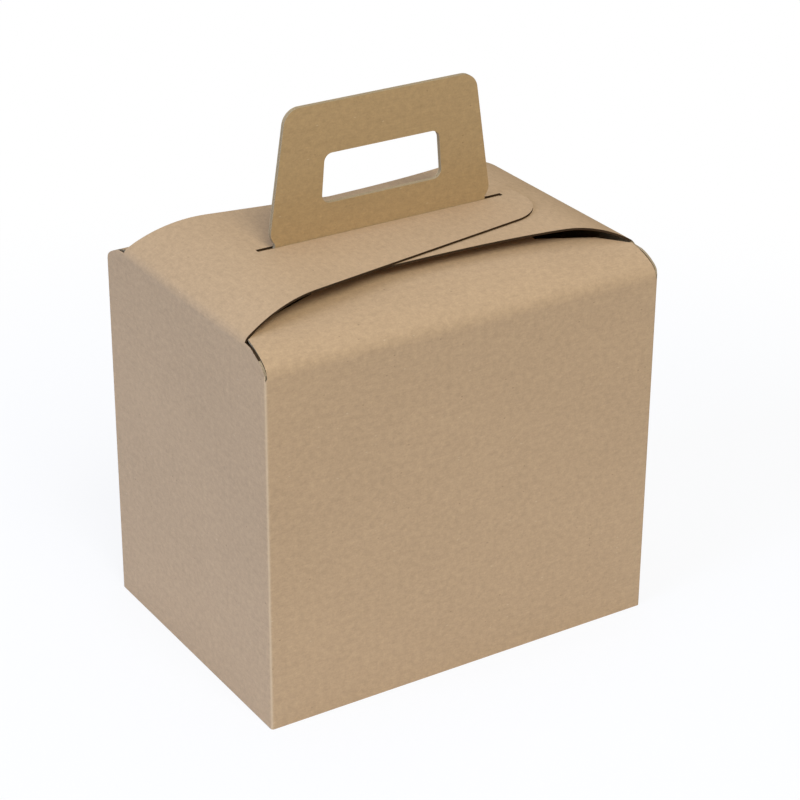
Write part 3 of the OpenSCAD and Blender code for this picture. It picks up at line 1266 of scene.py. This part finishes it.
@dataclass(frozen=True)
class KraftFinish:
    """Colour and feel of one face of the kraft board."""

    name: str
    colour: tuple[float, float, float, float]
    fibre: float = 0.33
    clouding: float = 0.08
    fluting: float = 0.008
    dark_flecks: float = 0.05
    pale_flecks: float = 0.05
    roughness: float = 0.86
    bump: float = 0.00012
    # colour of the handle leaf: the same kraft, darker and yellower as painted shade for the floor light
    # it gets less of
    handle: tuple[float, float, float, float] | None = None

    def build(self, effects: BoardEffects) -> bpy.types.Material:
        """Make the material.

        Args:
            effects: The shared groups.

        Returns:
            The material.
        """
        material = bpy.data.materials.new(self.name)
        material.use_nodes = True
        graph = Graph(material.node_tree)
        shader = material.node_tree.nodes["Principled BSDF"]
        blank = graph.node("ShaderNodeAttribute", attribute_name="blank").outputs["Vector"]
        crease = graph.node("ShaderNodeAttribute", attribute_name="crease").outputs["Fac"]
        grain = effects.grain.put(
            graph,
            {"Blank": blank, "Fibre": self.fibre, "Clouding": self.clouding, "Fluting": self.fluting},
        )
        base: Any = self.colour
        # The handle leaf takes the handle colour, which is painted shade.
        if self.handle is not None:
            leaf = graph.node("ShaderNodeAttribute", attribute_name="handle").outputs["Fac"]
            base = graph.mix(leaf, self.colour, self.handle)
        toned = graph.brighten(base, grain.outputs["Tone"])
        dark = effects.fleck.put(
            graph, {"Blank": blank, "Spacing": (210.0, 330.0, 1.0), "Share": self.dark_flecks}
        )
        pale = effects.fleck.put(
            graph, {"Blank": blank, "Spacing": (170.0, 420.0, 1.0), "Share": self.pale_flecks}
        )
        flecked = graph.mix(graph.math("MULTIPLY", dark.outputs[0], 0.42), toned, linear(104, 82, 58))
        flecked = graph.mix(graph.math("MULTIPLY", pale.outputs[0], 0.30), flecked, linear(222, 204, 176))
        # Fold crests are made paler: partly rubbed wear, partly a painted highlight along the crest.
        wear_and_highlight = effects.wear_and_highlight.put(graph, {"Blank": blank, "Crease": crease})
        worn_and_highlit = graph.mix(graph.math("MULTIPLY", wear_and_highlight.outputs[0], 0.42), flecked, linear(203, 182, 152))
        graph.feed(shader.inputs["Base Color"], worn_and_highlit)
        roughness = graph.math("MULTIPLY_ADD", grain.outputs["Height"], 0.12, self.roughness)
        graph.feed(shader.inputs["Roughness"], roughness)
        shader.inputs["Specular IOR Level"].default_value = 0.22
        bump = graph.node(
            "ShaderNodeBump", {"Height": grain.outputs["Height"], "Strength": 0.6, "Distance": self.bump}
        )
        graph.feed(shader.inputs["Normal"], bump.outputs[0])
        return material


@dataclass(frozen=True)
class CutFinish:
    """Colour and feel of the board's cut edges. Those on the roof and flaps get a dark colour that is
    painted shade, for the shadow that these edges lie in.
    """

    name: str
    colour: tuple[float, float, float, float]
    handle: tuple[float, float, float, float]
    # dark colour for the cut edges above a height, on the roof and flaps: painted shade
    top: tuple[float, float, float, float]
    shade_from: float = 0.2245
    shade_to: float = 0.2262
    bump: float = 0.00015

    def build(self, effects: BoardEffects) -> bpy.types.Material:
        """Make the material.

        Args:
            effects: The shared groups.

        Returns:
            The material.
        """
        material = bpy.data.materials.new(self.name)
        material.use_nodes = True
        graph = Graph(material.node_tree)
        shader = material.node_tree.nodes["Principled BSDF"]
        blank = graph.node("ShaderNodeAttribute", attribute_name="blank").outputs["Vector"]
        depth = graph.node("ShaderNodeAttribute", attribute_name="depth").outputs["Fac"]
        layers = effects.layers.put(graph, {"Blank": blank, "Depth": depth})
        place = graph.node("ShaderNodeTexCoord").outputs["Object"]
        height = graph.node("ShaderNodeSeparateXYZ", {0: place}).outputs[2]
        # Cut edges above a height, on the roof and flaps, take the dark top colour: painted shade.
        base = graph.mix(graph.ramp(height, self.shade_from, self.shade_to), self.colour, self.top)
        leaf = graph.node("ShaderNodeAttribute", attribute_name="handle").outputs["Fac"]
        base = graph.mix(leaf, base, self.handle)
        graph.feed(shader.inputs["Base Color"], graph.brighten(base, layers.outputs["Tone"]))
        shader.inputs["Roughness"].default_value = 0.92
        shader.inputs["Specular IOR Level"].default_value = 0.15
        bump = graph.node(
            "ShaderNodeBump", {"Height": layers.outputs["Height"], "Strength": 0.7, "Distance": self.bump}
        )
        graph.feed(shader.inputs["Normal"], bump.outputs[0])
        return material


@dataclass(frozen=True)
class Lamp:
    """A soft box, aimed at the middle of the object.

    Its strength is the brightness that it alone gives to a white face turned to it.
    """

    name: str
    place: tuple[float, float, float]
    size: float
    strength: float
    colour: tuple[float, float, float]

    def build(self, target: Vector) -> None:
        """Make the lamp.

        Args:
            target: Point that it faces.
        """
        data = bpy.data.lights.new(self.name, "AREA")
        data.shape = "DISK"
        data.size = self.size
        data.energy = self.strength * math.pi**2 * (target - Vector(self.place)).length_squared
        data.color = self.colour
        lamp = bpy.data.objects.new(self.name, data)
        lamp.location = self.place
        lamp.rotation_euler = (target - Vector(self.place)).to_track_quat("-Z", "Y").to_euler()
        bpy.context.scene.collection.objects.link(lamp)


@dataclass(frozen=True)
class Studio:
    """The white floor, the soft light and the camera."""

    lamps: tuple[Lamp, ...]
    ambient: float = 0.29
    ambient_colour: tuple[float, float, float, float] = (1.0, 0.96, 0.90, 1.0)
    floor_glow: float = 0.85
    floor_r: float = 0.75
    floor_colour: tuple[float, float, float, float] = (0.84, 0.88, 1.0, 1.0)
    azimuth: float = math.radians(-32.451)
    elevation: float = math.radians(26.431)
    roll: float = math.radians(0.401)
    place: tuple[float, float, float] = (-0.664106, -1.065179, 0.753757)
    lens: float = 110.264

    def build(self) -> None:
        """Make the floor, the world, the lamps and the camera."""
        self._floor()
        self._world()
        for lamp in self.lamps:
            lamp.build(Vector((0.0, 0.0, 0.13)))
        self._camera()
        bpy.context.scene.view_settings.view_transform = "Standard"

    def _floor(self) -> None:
        """Make a round white floor that keeps the soft shadow and fades into the white behind it."""
        bm = bmesh.new()
        bmesh.ops.create_circle(bm, cap_ends=True, segments=96, radius=self.floor_r)
        bmesh.ops.translate(bm, verts=bm.verts, vec=(0.0, 0.0, -0.0001))
        mesh = bpy.data.meshes.new("floor")
        bm.to_mesh(mesh)
        bm.free()
        floor = bpy.data.objects.new("floor", mesh)
        bpy.context.scene.collection.objects.link(floor)
        material = bpy.data.materials.new("white_floor")
        material.use_nodes = True
        graph = Graph(material.node_tree)
        shader = material.node_tree.nodes["Principled BSDF"]
        shader.inputs["Base Color"].default_value = self.floor_colour
        shader.inputs["Roughness"].default_value = 1.0
        shader.inputs["Specular IOR Level"].default_value = 0.0
        glow = graph.node("ShaderNodeEmission", {"Color": (1.0, 1.0, 1.0, 1.0), "Strength": 1.0})
        seen = graph.node("ShaderNodeLightPath").outputs["Is Camera Ray"]
        place = graph.node("ShaderNodeTexCoord").outputs["Object"]
        radius = graph.node("ShaderNodeVectorMath", {0: place}, operation="LENGTH").outputs["Value"]
        edge = graph.ramp(radius, 0.45 * self.floor_r, 0.9 * self.floor_r)
        glow_share = graph.math("MULTIPLY_ADD", edge, 1.0 - self.floor_glow, self.floor_glow)
        share = graph.math("MULTIPLY", seen, glow_share)
        both = graph.node("ShaderNodeMixShader", {0: share, 1: shader.outputs[0], 2: glow.outputs[0]})
        graph.feed(material.node_tree.nodes["Material Output"].inputs["Surface"], both.outputs[0])
        mesh.materials.append(material)

    def _world(self) -> None:
        """Light the scene evenly from all round, and show white behind it."""
        world = bpy.data.worlds.new("studio")
        bpy.context.scene.world = world
        world.use_nodes = True
        graph = Graph(world.node_tree)
        back = world.node_tree.nodes["Background"]
        seen = graph.node("ShaderNodeLightPath").outputs["Is Camera Ray"]
        colour = graph.mix(seen, self.ambient_colour, (1.0, 1.0, 1.0, 1.0))
        graph.feed(back.inputs["Color"], colour)
        strength = graph.math("MULTIPLY_ADD", seen, 1.0 - self.ambient, self.ambient)
        graph.feed(back.inputs["Strength"], strength)

    def _camera(self) -> None:
        """Set the camera at the photograph's angle."""
        flat = math.cos(self.elevation)
        back = Vector(
            (math.sin(self.azimuth) * flat, -math.cos(self.azimuth) * flat, math.sin(self.elevation))
        )
        right = (-back).cross(UP).normalized()
        top = back.cross(right)
        rolled_right = right * math.cos(self.roll) + top * math.sin(self.roll)
        rolled_top = top * math.cos(self.roll) - right * math.sin(self.roll)
        matrix = Matrix((rolled_right, rolled_top, back)).transposed().to_4x4()
        matrix.translation = Vector(self.place)
        data = bpy.data.cameras.new("camera")
        data.sensor_width = 36.0
        data.lens = self.lens
        data.clip_start = 0.05
        data.clip_end = 50.0
        camera = bpy.data.objects.new("camera", data)
        camera.matrix_world = matrix
        bpy.context.scene.collection.objects.link(camera)
        bpy.context.scene.camera = camera


def main() -> None:
    """Build the box and its studio, hang the carton on its body and hide the imported parts that the new
    pieces stand for.
    """
    sizes, board = BoxSizes(), Board()
    box = LunchBox(sizes, board, Handle())
    effects = BoardEffects()
    # The handle colour is the same kraft in painted shade: darker and yellower, for the floor light that
    # the handle gets less of.
    outside = KraftFinish(
        "kraft_outside", linear(182, 155, 124), handle=linear(177, 149, 109)
    ).build(effects)
    flap_outside = KraftFinish("kraft_flap_outside", linear(182, 155, 124)).build(effects)
    # dark is painted shade: the cut edges on the roof and flaps lie in shadow, and the outer flap's cut
    # edges take it all over.
    pale, dark = linear(168, 151, 125), linear(66, 49, 32)
    cut = CutFinish("kraft_cut_edge_shaded_above", pale, handle=linear(178, 160, 130), top=dark).build(effects)
    shaded_flap_cut = CutFinish("kraft_flap_cut_edge_painted_shade", dark, handle=dark, top=dark).build(effects)
    inside = KraftFinish("kraft_inside", linear(172, 143, 104), fibre=0.2, clouding=0.1).build(effects)

    carton = box.carton([outside, cut, inside])
    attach(carton, "carton")
    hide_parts("carton")

    flap = box.outer_flap([flap_outside, shaded_flap_cut, inside])
    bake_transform(flap)
    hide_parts("outer_flap")

    lamps = (
        Lamp("key_front", (-0.54, -3.16, 3.97), 2.8, 0.62, (1.03, 1.0, 0.86)),
        Lamp("fill_left", (-4.4, -0.5, 2.17), 2.8, 0.44, (0.82, 1.0, 1.4)),
        Lamp("top", (0.4, 0.5, 3.5), 2.4, 0.20, (0.95, 1.02, 1.18)),
    )
    Studio(lamps).build()
    LOG.info("the scene is ready")


if __name__ == "__main__":
    logging.basicConfig(level=logging.INFO)
    main()
